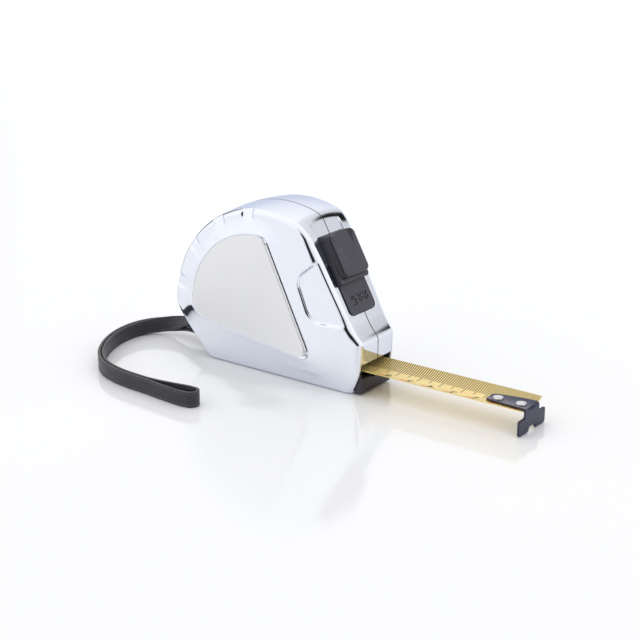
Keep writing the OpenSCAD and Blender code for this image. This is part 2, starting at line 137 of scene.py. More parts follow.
class Nodes:
    """A short way to write a material's nodes."""

    def __init__(self, name, **sockets):
        self.material = bpy.data.materials.new(name)
        self.material.use_nodes = True
        self.tree = self.material.node_tree
        self.shader = self.tree.nodes["Principled BSDF"]
        for key, value in sockets.items():
            self.shader.inputs[key.replace("_", " ")].default_value = value

    def feed(self, value, socket):
        """Links another node's output to a socket, or sets a constant on it."""
        if isinstance(value, bpy.types.NodeSocket):
            self.tree.links.new(value, socket)
        else:
            socket.default_value = value

    def add(self, kind, **values):
        """A node; values set its inputs by name or its own settings."""
        made = self.tree.nodes.new("ShaderNode" + kind)
        for key, value in values.items():
            if hasattr(made, key):
                setattr(made, key, value)
            else:
                self.feed(value, made.inputs[key.replace("_", " ")])
        return made

    def math(self, operation, a, b=0.0, c=0.0):
        made = self.tree.nodes.new("ShaderNodeMath")
        made.operation = operation
        for socket, value in zip(made.inputs, (a, b, c)):
            self.feed(value, socket)
        return made.outputs[0]

    def times(self, a, b):
        return self.math("MULTIPLY", a, b)

    def off_mark(self, value, period, at):
        """Distance, in periods, from a mark at the share at of each period."""
        phase = self.math("FRACT", self.math("DIVIDE", value, period))
        return self.math("ABSOLUTE", self.math("SUBTRACT", phase, at))

    def remap(self, value, lo, hi, to_lo=0.0, to_hi=1.0):
        made = self.add("MapRange", Value=value)
        keys = ("From Min", "From Max", "To Min", "To Max")
        for key, number in zip(keys, (lo, hi, to_lo, to_hi)):
            made.inputs[key].default_value = number
        return made.outputs["Result"]

    def blend(self, factor, a, b):
        made = self.tree.nodes.new("ShaderNodeMix")
        made.data_type = "RGBA"
        for index, value in ((0, factor), (6, a), (7, b)):
            self.feed(value, made.inputs[index])
        return made.outputs[2]

    def place(self):
        """Coordinates in metres, in the object's own space."""
        return self.add("TexCoord").outputs["Object"]

    def noise(self, scale, detail=3.0, roughness=0.55):
        made = self.add(
            "TexNoise", Vector=self.place(), Scale=scale, Detail=detail, Roughness=roughness
        )
        return made.outputs["Fac"]

    def bump(self, height, strength, distance):
        made = self.add("Bump", Height=height, Strength=strength, Distance=distance)
        self.tree.links.new(made.outputs["Normal"], self.shader.inputs["Normal"])

    def link(self, value, socket):
        self.tree.links.new(value, self.shader.inputs[socket])


def chrome():
    """Bright plating on moulded plastic: nearly a mirror, with a faint ripple."""
    tone, glancing_tone = (0.83, 0.855, 0.925, 1), (0.60, 0.64, 0.74, 1)
    n = Nodes("chrome_plating", Metallic=1.0, Base_Color=tone, Specular_Tint=glancing_tone)
    n.link(n.remap(n.noise(220, 4), 0.35, 0.75, 0.045, 0.11), "Roughness")
    n.bump(n.noise(140, 2), 0.04, 0.0002)
    return n.material


def satin_plate():
    """Side plates: a pale satin surface with a fine grain."""
    n = Nodes("satin_plating", Metallic=0.0, Base_Color=(0.95, 0.95, 0.965, 1))
    n.link(n.remap(n.noise(900, 3), 0.3, 0.7, 0.46, 0.56), "Roughness")
    n.bump(n.noise(2600, 2), 0.10, 0.00005)
    return n.material


def moulded(name, tone, rough, grain, tint=1.2):
    """Moulded plastic with a fine grain, a little uneven in colour and gloss."""
    n = Nodes(name)
    n.link(n.remap(n.noise(grain * 0.2, 4), 0.3, 0.7, rough - 0.05, rough + 0.07), "Roughness")
    dark = (tone * 0.85, tone * 0.83, tone * 0.85 * tint, 1)
    light = (tone * 1.15, tone * 1.12, tone * 1.15 * tint, 1)
    n.link(n.blend(n.noise(90, 4), dark, light), "Base Color")
    n.bump(n.noise(grain, 3), 0.18, 0.00006)
    return n.material


def steel(name, tone, rough, stretch=(1, 1, 1)):
    """Drawn or ground steel, with fine marks along one direction."""
    n = Nodes(name, Metallic=1.0, Base_Color=(*tone, 1))
    mapping = n.add("Mapping", Vector=n.place(), Scale=stretch)
    marks = n.add("TexNoise", Vector=mapping.outputs[0], Scale=900, Detail=3).outputs["Fac"]
    n.link(n.remap(marks, 0.3, 0.7, rough - 0.07, rough + 0.1), "Roughness")
    n.bump(marks, 0.12, 0.00005)
    return n.material


def black_oxide():
    """The hook's blackened steel, with bare steel showing through in small flecks."""
    n = Nodes("black_oxide_steel", Metallic=0.9)
    paler_patches = n.remap(n.noise(1500, 4, 0.7), 0.62, 0.72)
    n.link(n.blend(paler_patches, (0.062, 0.064, 0.10, 1), (0.15, 0.15, 0.17, 1)), "Base Color")
    n.link(n.remap(n.noise(600, 3), 0.3, 0.7, 0.2, 0.3), "Roughness")
    n.bump(n.noise(1800, 3), 0.2, 0.00006)
    return n.material


def strap_fabric():
    """Close ribbed weave, paler in patches along the raised borders and the band's edges."""
    n = Nodes("strap_weave", Sheen_Weight=0.25, Sheen_Roughness=0.4)
    band = n.add("Attribute", attribute_name="band").outputs["Vector"]
    parts = n.add("SeparateXYZ", Vector=band)
    across, length = parts.outputs[0], parts.outputs[1]
    rib = n.math("SINE", n.times(length, 2 * math.pi / 0.55))
    warp = n.math("SINE", n.times(across, 2 * math.pi / 0.42))
    weave = n.times(rib, warp)
    edge = n.math("ABSOLUTE", across)
    border = n.times(n.remap(edge, 1.9, 2.15), n.remap(edge, 2.7, 2.35))
    rim = n.remap(edge, 2.95, 3.2)
    patchy = n.remap(n.noise(400, 4), 0.35, 0.65, 0.35, 1.0)
    paler_patches = n.times(n.math("MAXIMUM", border, rim), patchy)
    base = n.blend(n.remap(weave, -1, 1), (0.016, 0.015, 0.022, 1), (0.034, 0.033, 0.046, 1))
    n.link(n.blend(n.times(paler_patches, 0.6), base, (0.11, 0.10, 0.098, 1)), "Base Color")
    n.link(n.remap(weave, -1, 1, 0.62, 0.48), "Roughness")
    n.bump(weave, 0.3, 0.00008)
    return n.material


# Scale of the blade, in millimetres. Each kind of tick has its spacing, half its width, and how far
# across the blade it reaches.
BLADE_HALF = 9.05
ZERO_X = 0.116
SOFT_INK = 0.04
TICKS = ((1.0, 0.22, 2.3), (5.0, 0.2, 0.0), (10.0, 0.22, -1.5))


def blade_paint(name, printed):
    """Yellow lacquer on spring steel, with the scale's ticks printed on it."""
    n = Nodes(name, Coat_Weight=0.25, Coat_Roughness=0.25)
    parts = n.add("SeparateXYZ", Vector=n.place())
    along = n.times(n.math("SUBTRACT", ZERO_X, parts.outputs[0]), 1000)
    across = n.times(parts.outputs[1], 1000)
    n.link(n.remap(n.noise(300, 4), 0.3, 0.7, 0.34, 0.44), "Roughness")
    tone = n.blend(n.noise(45, 4), (0.91, 0.66, 0.20, 1), (0.97, 0.77, 0.33, 1))
    if printed:
        # Red marks between the figures
        group = n.off_mark(along, 10, 0.42)
        red = n.times(n.remap(group, 0.17, 0.13), n.remap(across, -3.2, -3.6))
        red = n.times(red, n.remap(across, -6.4, -6.0))
        bars = n.off_mark(along, 0.9, 0.5)
        red = n.times(red, n.remap(bars, 0.16, 0.24))
        tone = n.blend(n.times(red, 0.9), tone, (0.72, 0.07, 0.03, 1))
        # Black ticks from the far edge
        ink = None
        for period, half, end in TICKS:
            phase = n.math("FRACT", n.math("ADD", n.math("DIVIDE", along, period), 0.5))
            off = n.times(n.math("ABSOLUTE", n.math("SUBTRACT", phase, 0.5)), period)
            width = n.remap(off, half + SOFT_INK, half - SOFT_INK)
            tick = n.times(width, n.remap(across, end, end + 0.1))
            ink = tick if ink is None else n.math("MAXIMUM", ink, tick)
        tone = n.blend(n.times(ink, 0.93), tone, (0.02, 0.017, 0.012, 1))
    n.link(tone, "Base Color")
    n.bump(n.noise(700, 3), 0.06, 0.00004)
    return n.material


def wound_blade():
    """The coil's faces: the edges of many turns, drawn as fine rings whose dark phase is painted shade
    between the turns.
    """
    n = Nodes("wound_blade", Metallic=0.2)
    lo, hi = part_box("blade_coil")
    centre = ((lo[0] + hi[0]) / 2, 0, (lo[2] + hi[2]) / 2)
    parts = n.add("SeparateXYZ", Vector=n.place())
    dx = n.math("SUBTRACT", parts.outputs[0], centre[0])
    dz = n.math("SUBTRACT", parts.outputs[2], centre[2])
    squares = n.math("ADD", n.times(dx, dx), n.times(dz, dz))
    away = n.math("SQRT", squares)
    turn = n.math("SINE", n.times(away, 2 * math.pi / 0.00035))
    # The dark end of this blend is painted shade in the gap between turns
    tone = n.blend(n.remap(turn, -1, 1), (0.30, 0.17, 0.03, 1), (0.85, 0.55, 0.12, 1))
    n.link(tone, "Base Color")
    n.link(n.remap(n.noise(300, 3), 0.3, 0.7, 0.36, 0.48), "Roughness")
    n.bump(turn, 0.25, 0.0001)
    return n.material


CHROME = chrome()
SATIN = satin_plate()
# The slider is one black plastic in two copies: the top's paler tone is painted light and the sides'
# darker, bluer tone is painted shade. The top's finer grain and duller gloss are the plastic's own.
BLACK_SHADED_SIDE = moulded("slider_side_plastic_painted_shade", 0.011, 0.3, 1500, 1.8)
BLACK_LIT_TOP = moulded("slider_grained_plastic_painted_light", 0.062, 0.5, 2600, 1.25)
BLACK_SMOOTH = moulded("bumper_moulded_plastic", 0.024, 0.36, 1500, 1.3)
CLIP_GREY = moulded("clip_moulded_plastic", 0.05, 0.45, 1500)
LEVER_GREY = moulded("lever_moulded_plastic", 0.12, 0.45, 1500)
REEL_WHITE = moulded("reel_moulded_plastic", 0.62, 0.42, 1500, 1.0)
RUBBER = moulded("pad_rubber", 0.05, 0.7, 3000, 0.5)
GROUND = steel("ground_steel", (0.62, 0.62, 0.64), 0.2)
WIRE = steel("drawn_wire", (0.55, 0.55, 0.57), 0.28, (1, 1, 6))
BLUED = steel("blued_strip", (0.20, 0.22, 0.30), 0.25, (1, 8, 1))
OXIDE = black_oxide()
FABRIC = strap_fabric()
SCALE = blade_paint("blade_scale", True)
BACK = blade_paint("blade_underside", False)
WOUND = wound_blade()
INK = moulded("figure_ink", 0.012, 0.4, 1500)

CAD_LOOKS = {
    "slider_clip": CLIP_GREY,
    "brake_lever": LEVER_GREY,
    "brake_pad": RUBBER,
    "lever_pin": GROUND,
    "lever_spring": WIRE,
    "centre_post": GROUND,
    "power_spring": BLUED,
    "reel": REEL_WHITE,
    "spring_cover": REEL_WHITE,
    "blade_coil": WOUND,
    "case_screws": GROUND,
    "strap_pin": GROUND,
}
for node, look in CAD_LOOKS.items():
    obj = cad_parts[node]
    if not obj.material_slots:
        obj.data.materials.append(look)
    for slot in obj.material_slots:
        slot.material = look

# ------------------------------ distance fields


def round_max(a, b, r):
    """Both at once, with a round of radius r on the outer edge."""
    return np.minimum(-r, np.maximum(a, b)) + np.hypot(np.maximum(a + r, 0), np.maximum(b + r, 0))


def round_min(a, b, r):
    """Either one, with a round of radius r in the inner corner."""
    return -round_max(-a, -b, r)


def plane(p, point, normal):
    """Distance above a plane given by a point and an outward normal."""
    n = np.array(normal, float) / np.linalg.norm(normal)
    x, y, z = (p[..., i] - point[i] for i in range(3))
    return x * n[0] + y * n[1] + z * n[2]


def gradient(field, p, step=0.02):
    """Unit normals of the field at points p."""
    g = np.stack([field(p + step * e) - field(p - step * e) for e in np.eye(3)], axis=-1)
    return g / np.maximum(np.linalg.norm(g, axis=-1, keepdims=True), 1e-9)


CUBE = np.array([(i, j, k) for i in (0, 1) for j in (0, 1) for k in (0, 1)])
CUBE_EDGES = [
    (a, b) for a in range(8) for b in range(a + 1, 8) if abs(CUBE[a] - CUBE[b]).sum() == 1
]


def skin(field, lo, hi, cell, smooth_steps=4):
    """Points and four-sided faces of the surface where field is 0.

    One point goes in each grid cell that the surface crosses, and is then pulled onto the
    true surface, while it is kept near the middle of its neighbours.
    """
    lo, hi = np.array(lo, float), np.array(hi, float)
    counts = np.ceil((hi - lo) / cell).astype(int) + 1
    axes = [lo[i] + cell * np.arange(counts[i]) for i in range(3)]
    values = field(np.stack(np.meshgrid(*axes, indexing="ij"), axis=-1))
    inside = values < 0
    size = counts - 1
    corner_sum = sum(
        inside[c[0] : c[0] + size[0], c[1] : c[1] + size[1], c[2] : c[2] + size[2]].astype(np.int8)
        for c in CUBE
    )
    cells = np.argwhere((corner_sum > 0) & (corner_sum < 8))
    number = -np.ones(size, np.int64)
    number[tuple(cells.T)] = np.arange(len(cells))

    at = [values[tuple((cells + c).T)] for c in CUBE]
    total, hits = np.zeros((len(cells), 3)), np.zeros(len(cells))
    for a, b in CUBE_EDGES:
        crosses = (at[a] < 0) != (at[b] < 0)
        t = np.where(crosses, at[a] / np.where(crosses, at[a] - at[b], 1), 0)
        total += np.where(crosses[:, None], CUBE[a] + t[:, None] * (CUBE[b] - CUBE[a]), 0)
        hits += crosses
    points = lo + cell * (cells + total / hits[:, None])

    quads = []
    for axis in range(3):
        u, v = (axis + 1) % 3, (axis + 2) % 3
        step = np.eye(3, dtype=int)
        first = inside[tuple(slice(0, counts[i] - (i == axis)) for i in range(3))]
        second = inside[tuple(slice(int(i == axis), counts[i]) for i in range(3))]
        edges = np.argwhere(first != second)
        at_u, at_v = edges[:, u], edges[:, v]
        edges = edges[(at_u > 0) & (at_v > 0) & (at_u < size[u]) & (at_v < size[v])]
        outward = first[tuple(edges.T)]
        around = [edges - a * step[u] - b * step[v] for a, b in ((1, 1), (0, 1), (0, 0), (1, 0))]
        ring = np.stack([number[tuple(cell_at.T)] for cell_at in around], axis=1)
        ring[~outward] = ring[~outward][:, ::-1]
        quads.append(ring)
    quads = np.concatenate(quads)

    pairs = np.concatenate([quads[:, [0, 1]], quads[:, [1, 2]], quads[:, [2, 3]], quads[:, [3, 0]]])
    degree = np.bincount(pairs.ravel(), minlength=len(points))
    for i in range(smooth_steps):
        middle = np.stack(
            [
                np.bincount(pairs[:, 0], points[pairs[:, 1], k], len(points))
                + np.bincount(pairs[:, 1], points[pairs[:, 0], k], len(points))
                for k in range(3)
            ],
            axis=1,
        ) / np.maximum(degree, 1)[:, None]
        points = points + 0.5 * (middle - points)
        for j in range(2):
            normal = gradient(field, points)
            slope = (field(points + 0.02 * normal) - field(points - 0.02 * normal)) / 0.04
            move = field(points) / np.maximum(slope, 0.3)
            points = points - np.clip(move, -cell, cell)[:, None] * normal
    return points, quads


# ------------------------------ case shape

# Points are (x, z) in the side view, and a Y is a distance from the case's mid-plane
SIDE_Y = 15.5
DOME_C, DOME_R, CROWN = (1.4, 22.9), 48.0, 1.3
KINK, SLOPE_DEG = (43.3, 25.9), 61.0
NOSE_X = 46.9
WALL = 2.6
DRAWN_IN_FROM, DRAWN_IN = 24, 0.03
SLOPE_OUT = (math.sin(math.radians(SLOPE_DEG)), 0, math.cos(math.radians(SLOPE_DEG)))
SLOPE_UP = (-math.cos(math.radians(SLOPE_DEG)), 0, math.sin(math.radians(SLOPE_DEG)))
# Flat faces: a point on each, and the way that it faces
REAR_AT, REAR_OUT = (-31, 0, 0), (-0.8393, 0, -0.5436)
FLARE_AT, FLARE_OUT = (0, 11.5, 0), (0, 0.9138, -0.4061)
TAPER_AT, TAPER_OUT = (39, SIDE_Y, 0), (0.334, 0.9426, 0)
FALL_AT, FALL_OUT = (46.5, 0, 10.3), (0.9166, 0, -0.3995)
FACET_AT, FACET_DEG = (-39.7, SIDE_Y, 16.5), 14
BEVEL_OUT = (0.72, 0, 0.694)
# Raised panel, thumb relief, finger scoops and screws
PANEL_FOOT, PANEL_C, PANEL_R = (25.9, 12.4), (-0.5, 24.8), 34.3
PANEL_RISE, PANEL_BORDER = 1.5, 1.7
RELIEF_DEEP = 1.25
GRIPS, GRIP_HALF = [math.radians(a) for a in (167, 143, 120, 100)], 3.2
SCREWS = ((-33.3, 47.7), (15.5, 63), (38.5, 18.5), (-26.5, 8))
BOSS_R, BORE_R = 3.2, 2.4
# The slider's pocket and slot, measured up the slope from the kink
POCKET_LOW, POCKET_HIGH, POCKET_Y, POCKET_DEEP = 6.7, 48.3, 8.95, 0.9
SLOT_LOW, SLOT_HIGH, SLOT_Y = 13.1, 24.1, 3.3
# Mouth, bumper and strap pocket. FAR is well outside the case
FAR = 70
MOUTH_LOW, MOUTH_TOP, MOUTH_Y = 7.3, 13, 10.4
BUMPER_BACK, BUMPER_FRONT, BUMPER_Y = 42.9, 45.9, 10.2
STRAP_LOW, STRAP_HIGH, STRAP_Y, STRAP_FRONT = 3.8, 12.2, 3.8, -30.4


def mirror_side(p):
    """The same points folded onto one side, so that Y is the distance from the mid-plane."""
    q = p.copy()
    q[..., 1] = np.abs(q[..., 1])
    return q


def ease(value, lo, hi):
    """0 below lo, 1 above hi, and smooth between."""
    t = np.clip((value - lo) / (hi - lo), 0, 1)
    return t * t * (3 - 2 * t)


def half_width(x):
    """The case's half width: even, then drawn in a little towards the front."""
    ahead = x - DRAWN_IN_FROM
    return SIDE_Y - DRAWN_IN * (np.sqrt(ahead**2 + 9) + ahead)


def case_base(p):
    """The case with no panels, grips or openings. p is folded onto one side."""
    x, y, z = p[..., 0], p[..., 1], p[..., 2]
    away = np.hypot(x - DOME_C[0], z - DOME_C[1])
    share = np.minimum(y / SIDE_Y, 1.2) ** 2
    dome = away - (DOME_R - CROWN * share)
    slope = plane(p, (KINK[0], 0, KINK[1]), SLOPE_OUT) + 0.5 * share
    bevelled = plane(p, (KINK[0], 0, KINK[1]), BEVEL_OUT) + 0.4 * share
    front = x - NOSE_X + 0.35 * share
    rear = plane(p, REAR_AT, REAR_OUT)
    flare = plane(p, FLARE_AT, FLARE_OUT)
    taper = plane(p, TAPER_AT, TAPER_OUT)
    facet_out = math.cos(math.radians(FACET_DEG)), math.sin(math.radians(FACET_DEG))
    facet = plane(p, FACET_AT, (-0.286 * facet_out[1], facet_out[0], -0.958 * facet_out[1]))

    # The nose stands out below the slope
    nose = round_max(round_min(slope, bevelled, 0.8), front, 0.9)
    ends = round_max(round_max(dome, nose, 3.0), rear, 1.8)
    sides = round_max(round_max(y - half_width(x), flare, 5.0), taper, 4.0)
    sides = round_max(sides, facet, 0.5)
    # The edge round is tight along the dome's rim and wide down the front
    edge = 1.8 + 2.4 * ease(x, 16, 30) - 1.2 * ease(x, 42, 46)
    body = round_max(ends, sides, edge)
    return round_max(body, -z, 0.9)


def panel_outline(x, z, slant_shift=0.0):
    """Signed distance to the side panel's outline, in the side view."""
    arc = np.hypot(x - PANEL_C[0], z - PANEL_C[1]) - PANEL_R
    slant = (x - PANEL_FOOT[0]) * 0.9 + (z - PANEL_FOOT[1]) * 0.4359 - slant_shift
    low = (x - PANEL_FOOT[0]) * -0.1355 + (z - PANEL_FOOT[1]) * -0.9908
    return round_max(round_max(arc, slant, 1.5), low, 5.0)


def relief_outline(x, z):
    """Signed distance to the thumb relief's outline, open towards the front."""
    left = (x - 18.2) * -0.928 + (z - 43.0) * -0.371
    low = (x - 30.0) * 0.03 - (z - 28.0)
    top = (x - 19.0) * -0.63 + (z - 46.0) * 0.776
    return round_max(round_max(left, low, 5.0), top, 4.0)


def grip_cut(p):
    """Scoops for the fingers, cut in the rim of the round back."""
    x, y, z = p[..., 0], p[..., 1], p[..., 2]
    away = np.hypot(x - DOME_C[0], z - DOME_C[1]) - (DOME_R - CROWN)
    turn = np.arctan2(z - DOME_C[1], x - DOME_C[0]) % (2 * math.pi)
    floor = -(away * 0.26 + (y - SIDE_Y) * 0.966 + 1.35)
    cut = None
    for a in GRIPS:
        along = np.abs(turn - a) * DOME_R
        one = round_max(along - GRIP_HALF, floor, 1.2)
        cut = one if cut is None else np.minimum(cut, one)
    return cut


def case_outer(p):
    """Outer surface of the case. p is folded onto one side."""
    x, y, z = p[..., 0], p[..., 1], p[..., 2]
    body = case_base(p)
    # Finger scoops and thumb relief
    body = round_max(body, -grip_cut(p), 0.5)
    relief = round_max(relief_outline(x, z), half_width(x) - RELIEF_DEEP - y, 0.8)
    body = round_max(body, -relief, 0.9)
    # Raised side panel with its sloping edge
    outline = panel_outline(x, z)
    slant = (outline - PANEL_BORDER) * 0.47 + (y - SIDE_Y - PANEL_RISE * 0.5) * 0.883
    panel = round_max(round_max(slant, y - SIDE_Y - PANEL_RISE, 0.8), SIDE_Y - 1.3 - y, 0.3)
    body = round_min(body, panel, 2.4)
    # Below the mouth the sides fall back behind the bumper's lip
    fall = plane(p, FALL_AT, FALL_OUT)
    return round_max(body, fall, 0.8)


def slope_axes(p):
    """Distance up the slope and out of it, from the kink."""
    dx, dz = p[..., 0] - KINK[0], p[..., 2] - KINK[1]
    return dx * SLOPE_UP[0] + dz * SLOPE_UP[2], dx * SLOPE_OUT[0] + dz * SLOPE_OUT[2]


def block(p, lo, hi, r=0.0):
    """A box given by its corners, with edges rounded by r."""
    mid, half = (np.array(lo) + hi) / 2, (np.array(hi) - lo) / 2 - r
    q = np.abs(p - mid) - half
    outside = np.linalg.norm(np.maximum(q, 0), axis=-1)
    return outside + np.minimum(q.max(axis=-1), 0) - r


def case_shell(p, side):
    """One shell, before it is cut at the mid-plane."""
    p = p * np.array([1, side, 1])
    x, y, z = p[..., 0], p[..., 1], p[..., 2]
    q = mirror_side(p)
    outer = case_outer(q)
    # Seat of the side plate, with soft inner walls that the plate's edge stands in
    seat = round_max(panel_outline(x, z) - 0.35, SIDE_Y + PANEL_RISE - 0.75 - q[..., 1], 0.5)
    outer = round_max(outer, -seat, 0.7)
    base = case_base(q)
    shell = round_max(outer, -(base + WALL), 0.3)
    # Bosses, and the screws' counterbores on the left side
    bosses = np.min([np.hypot(x - c[0], z - c[1]) for c in SCREWS], axis=0)
    shell = np.minimum(shell, np.maximum(bosses - BOSS_R, base + 0.8))
    if side > 0:
        shell = round_max(shell, -np.maximum(bosses - BORE_R, 7 - y), 0.3)
    # Slot and pocket of the thumb slider
    up, out = slope_axes(q)
    pocket_at = np.stack([up, q[..., 1], out], axis=-1)
    pocket = round_max(np.maximum(POCKET_LOW - up, up - POCKET_HIGH), q[..., 1] - POCKET_Y, 2.2)
    pocket = round_max(pocket, -POCKET_DEEP - out, 0.2)
    shell = round_max(shell, -pocket, 0.3)
    slot = block(pocket_at, (SLOT_LOW, -SLOT_Y, -6), (SLOT_HIGH, SLOT_Y, 6))
    shell = np.maximum(shell, -slot)
    # Mouth, bumper seat and strap pocket
    mouth = block(q, (30, -MOUTH_Y, MOUTH_LOW), (FAR, MOUTH_Y, MOUTH_TOP), 0.3)
    bumper = block(q, (BUMPER_BACK - 0.1, -MOUTH_Y, -5), (FAR, MOUTH_Y, MOUTH_TOP), 0.3)
    strap = block(q, (-FAR, -STRAP_Y, STRAP_LOW), (STRAP_FRONT, STRAP_Y, STRAP_HIGH), 0.8)
    shell = round_max(shell, -np.minimum(np.minimum(mouth, bumper), strap), 0.5)
    return shell


def piece_from_skin(name, field, lo, hi, cell, look, body, replaces, to_frame=None):
    """A moulded or pressed piece skinned from a distance field, shaded with the field's normals."""
    points, quads = skin(field, lo, hi, cell)
    normals = gradient(field, points)
    if to_frame is not None:
        points, normals = to_frame(points), to_frame(normals, False)
        quads = quads[:, ::-1]
    obj = make_piece(name, points, quads.tolist(), body, replaces)
    obj.data.materials.append(look)
    set_normals(obj.data, normals)
    return obj


def off_slope(p, move=True):
    """Points, or directions, from slope axes (up, across, out) to the frame."""
    out = np.stack(
        [
            p[..., 0] * SLOPE_UP[0] + p[..., 2] * SLOPE_OUT[0],
            p[..., 1],
            p[..., 0] * SLOPE_UP[2] + p[..., 2] * SLOPE_OUT[2],
        ],
        axis=-1,
    )
    return out + np.array([KINK[0], 0, KINK[1]]) if move else out


def quick_cell(cell):
    return cell


# ------------------------------ wrist strap

BAND_W, BAND_T = 6.5, 1.2
KEEPER_AT = 2.9
# Middle of the doubled band, as in part.scad: place, twist, half of the layers' spacing
ROUTE = np.array(
    [
        (-34.6, 0, 8, 0, 3),
        (-40, 0.3, 8, 0, 2.9),
        (-46, 1, 7.6, 5, 2.4),
        (-52.5, 1.8, 6.8, 20, 1.5),
        (-59, 2, 5.6, 45, 0.9),
        (-65.5, 0.5, 4.4, 70, 0.8),
        (-71, -4, 3.7, 85, 0.8),
        (-73.8, -11, 3.4, 90, 0.8),
        (-73.5, -20, 3.4, 90, 0.8),
        (-71, -29, 3.4, 90, 0.8),
        (-66.5, -38, 3.4, 90, 0.8),
        (-60, -46.5, 3.4, 90, 0.8),
        (-51.5, -53, 3.4, 90, 0.8),
        (-41.5, -56.3, 3.4, 90, 0.8),
        (-31, -57.5, 3.4, 90, 0.8),
        (-22.5, -57.8, 3.4, 90, 1),
        (-14, -57.7, 3.4, 90, 2),
        (-6.5, -57.2, 3.4, 90, 2.9),
        (-2.2, -56.9, 3.4, 90, 2.9),
    ]
)


def unit(v):
    return v / np.linalg.norm(v)


def route_at(u):
    """The route at u, counted in its points."""
    last = len(ROUTE) - 1
    i = min(int(u), last - 1)
    a, b, c, d = (ROUTE[k] for k in (max(i - 1, 0), i, i + 1, min(i + 2, last)))
    t = u - i
    return b + 0.5 * t * (c - a + t * (2 * a - 5 * b + 4 * c - d + t * (3 * (b - c) + d - a)))


def station(u):
    """Place, direction along the route, direction between the layers, and half spacing."""
    last = len(ROUTE) - 1
    here = route_at(u)
    along = unit(route_at(min(u + 0.05, last))[:3] - route_at(max(u - 0.05, 0))[:3])
    side = unit(np.cross([0, 0, 1], along))
    rise = np.cross(along, side)
    turn = math.radians(here[3])
    return here[:3], along, math.cos(turn) * rise + math.sin(turn) * side, here[4]


def band_profile():
    """Half of the band's section: across it, and half of its thickness there.

    A raised border runs along each edge, with a groove inside it.
    """
    across = np.array([3.25, 3.2, 3.05, 2.85, 2.6, 2.42, 2.32, 2.22, 2.1, 1.95, 1.8, 1.0])
    thick = np.array([0.0, 0.3, 0.5, 0.59, 0.59, 0.54, 0.42, 0.38, 0.40, 0.50, 0.53, 0.55])
    return across, thick


def make_strap():
    """The strap's band, which runs out along the route, turns, and runs back. Also its middle."""
    last = len(ROUTE) - 1
    count, turn_steps = ((190, 14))
    stops = [station(last * i / count) for i in range(count + 1)]
    path = [(s[0] + s[3] * s[2], s) for s in stops]
    end, start = stops[-1], stops[0]
    for k in range(1, turn_steps):
        a = math.pi * k / turn_steps
        path.append((end[0] + end[3] * (math.cos(a) * end[2] + math.sin(a) * end[1]), end))
    path += [(s[0] - s[3] * s[2], s) for s in reversed(stops)]
    for k in range(1, turn_steps):
        a = math.pi * k / turn_steps
        path.append((start[0] - start[3] * (math.cos(a) * start[2] + math.sin(a) * start[1]), start))

    across, thick = band_profile()
    ring = [(x, t) for x, t in zip(across, thick)] + [(0.0, 0.55)]
    ring += [(-x, t) for x, t in zip(across[::-1], thick[::-1])]
    ring += [(x, -t) for x, t in ring[-2:0:-1]]
    ring = np.array(ring)
    verts, band, run = [], [], 0.0
    n = len(path)
    for i, (at, s) in enumerate(path):
        along = unit(path[(i + 1) % n][0] - path[i - 1][0])
        flat = unit(np.cross(s[1], s[2]))
        face = unit(np.cross(flat, along))
        wide = np.cross(along, face)
        run += np.linalg.norm(at - path[i - 1][0]) if i else 0.0
        for x, t in ring:
            verts.append(at + x * wide + t * face)
            band.append((x, run, t))
    faces = ring_faces(n, len(ring), closed=True)
    strap = make_piece("wrist_band", verts, faces, "case", ["wrist_strap"])
    attribute = strap.data.attributes.new("band", "FLOAT_VECTOR", "POINT")
    attribute.data.foreach_set("vector", np.array(band, float).ravel())
    strap.data.materials.append(FABRIC)
    return strap, [s[0] for s in stops]


def make_keeper():
    """The stitched block that joins the two layers behind the case."""
    at, along, between, spacing = station(KEEPER_AT)
    side = np.cross(along, between)
    half = np.array([1.6, BAND_W / 2 - 0.45, spacing - BAND_T / 2 - 0.05])

    def field(p):
        stitch = 0.06 * np.cos(p[..., 1] * 2 * math.pi / 0.9)
        return block(p, -half, half, 0.35) + stitch

    def to_frame(p, move=True):
        out = p[..., 0:1] * along + p[..., 1:2] * side + p[..., 2:3] * between
        return out + at if move else out

    return piece_from_skin(
        "strap_keeper_block", field, -half - 0.6, half + 0.6, quick_cell(0.2), FABRIC, "case",
        ["strap_keeper"], to_frame,
    )


strap, strap_middle = make_strap()
keeper = make_keeper()
middle_length = sum(np.linalg.norm(b - a) for a, b in zip(strap_middle, strap_middle[1:]))
[tuple(p * MM) for p in strap_middle]

# ------------------------------ case shells

SHELL_CELL, QUICK_SHELL_CELL = 0.46, 0.9
PARTING, PARTING_FLOOR, PARTING_DEEP = 0.24, 0.04, 0.3


